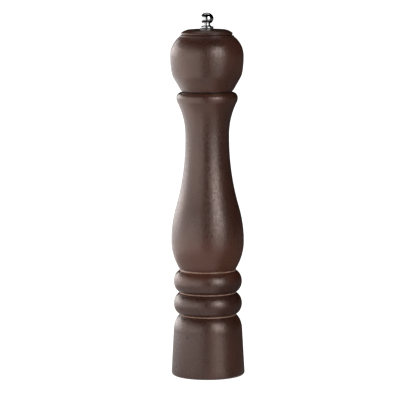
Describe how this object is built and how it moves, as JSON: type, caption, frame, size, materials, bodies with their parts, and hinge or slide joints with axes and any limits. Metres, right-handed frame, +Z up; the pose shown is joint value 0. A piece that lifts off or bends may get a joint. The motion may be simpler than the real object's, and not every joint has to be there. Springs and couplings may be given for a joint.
{
  "type": "pepper mill",
  "caption": "Tall turned wooden pepper mill with a round head, a grooved foot, a ball finial nut and a steel cone grinder inside.",
  "frame": {"origin": "centre of the ring that the foot stands on", "axes": "+Z up along the mill's turning axis; +X towards one of the two screws of the retaining bar"},
  "size_m": [0.0616, 0.0616, 0.3043],
  "materials": {
    "stained_wood": "dark walnut stain under satin lacquer",
    "polished_chrome": "mirror polished",
    "plated_steel": "zinc plated, fine brushed",
    "hardened_steel": "case hardened, dark",
    "spring_steel": "drawn wire",
    "screw_steel": "dark plated",
    "bearing_bronze": "turned",
    "nylon": "moulded, matte"
  },
  "bodies": {
    "mill_body": {"body": "stained_wood", "mouth_ring": "nylon", "grinder_housing": "plated_steel", "grinder_ring": "hardened_steel", "bearing_bridge": "plated_steel", "bridge_bush": "nylon", "retaining_bar": "plated_steel", "retaining_bar_screws": "screw_steel"},
    "spindle_stack": {"thrust_washer": "plated_steel", "grinder_spring": "spring_steel"},
    "drive_shaft": {"shaft": "plated_steel", "spring_cup": "plated_steel", "grinder_burr": "hardened_steel", "shaft_end_washer": "plated_steel", "shaft_end_clip": "screw_steel"},
    "mill_head": {"head": "stained_wood", "head_bush": "bearing_bronze", "drive_plate": "plated_steel", "drive_plate_screws": "screw_steel"},
    "finial_seat": {"finial_washer": "polished_chrome"},
    "finial": {"finial_nut": "polished_chrome"}
  },
  "joints": [
    {"name": "head_turn", "type": "hinge", "parent": "mill_body", "child": "spindle_stack", "pos_m": [0, 0, 0], "axis": [0, 0, 1], "continuous": true},
    {"name": "grind_set", "type": "slide", "parent": "spindle_stack", "child": "drive_shaft", "axis": [0, 0, 1], "range_m": [-0.0004, 0.0004], "deforming": ["grinder_spring"]},
    {"name": "head_lift", "type": "slide", "parent": "spindle_stack", "child": "mill_head", "axis": [0, 0, 1], "range_m": [0, 0.095]},
    {"name": "finial_lift", "type": "slide", "parent": "mill_head", "child": "finial_seat", "axis": [0, 0, 1], "range_m": [0, 0.025]},
    {"name": "nut_turn", "type": "hinge", "parent": "finial_seat", "child": "finial", "pos_m": [0, 0, 0.2913], "axis": [0, 0, 1], "range_deg": [-206, 206]}
  ],
  "couplings": [
    {"joint": "nut_turn", "follows": "grind_set", "rad_per_m": -8976}
  ]
}
